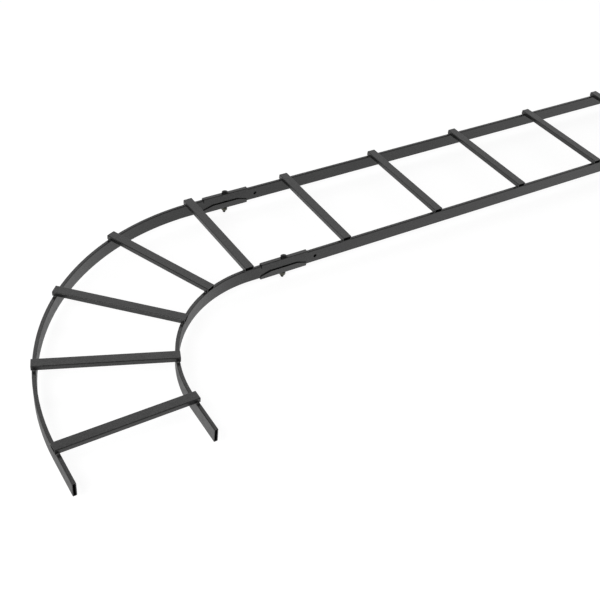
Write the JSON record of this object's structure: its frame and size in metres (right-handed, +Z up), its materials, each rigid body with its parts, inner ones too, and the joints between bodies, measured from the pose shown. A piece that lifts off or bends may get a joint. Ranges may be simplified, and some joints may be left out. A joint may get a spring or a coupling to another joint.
{
  "type": "cable ladder bend",
  "caption": "Flat quarter-turn bend of tubular steel cable ladder with rungs welded on top of its stringers, spliced by bolted saddle clamps to a straight length of the same ladder.",
  "frame": {"origin": "under the middle of the whole part's bounding box, on the floor that the bolts' ends stand on", "axes": "+X along the straight length, away from the bend; +Y across the ladder, from the inner stringer to the outer one; +Z up, from the stringers to the rungs"},
  "size_m": [2.2768, 0.7582, 0.071],
  "materials": {
    "stringer_coat": "black powder coat, satin, fine texture",
    "rung_coat": "black powder coat, satin, fine texture",
    "clamp_coat": "black powder coat, satin, fine texture",
    "bolt_steel": "black bolt, satin",
    "nut_steel": "dark zinc plating, dull"
  },
  "bodies": {
    "root": {"bend_outer_stringer": "stringer_coat", "bend_inner_stringer": "stringer_coat", "bend_rung_1": "rung_coat", "bend_rung_2": "rung_coat", "bend_rung_3": "rung_coat", "bend_rung_4": "rung_coat", "bend_rung_5": "rung_coat", "straight_outer_stringer": "stringer_coat", "straight_inner_stringer": "stringer_coat", "straight_rung_1": "rung_coat", "straight_rung_2": "rung_coat", "straight_rung_3": "rung_coat", "straight_rung_4": "rung_coat", "straight_rung_5": "rung_coat", "outer_clamp_top": "clamp_coat", "outer_clamp_bottom": "clamp_coat", "outer_bolt": "bolt_steel", "outer_nut": "nut_steel", "inner_clamp_top": "clamp_coat", "inner_clamp_bottom": "clamp_coat", "inner_bolt": "bolt_steel", "inner_nut": "nut_steel"}
  },
  "joints": []
}
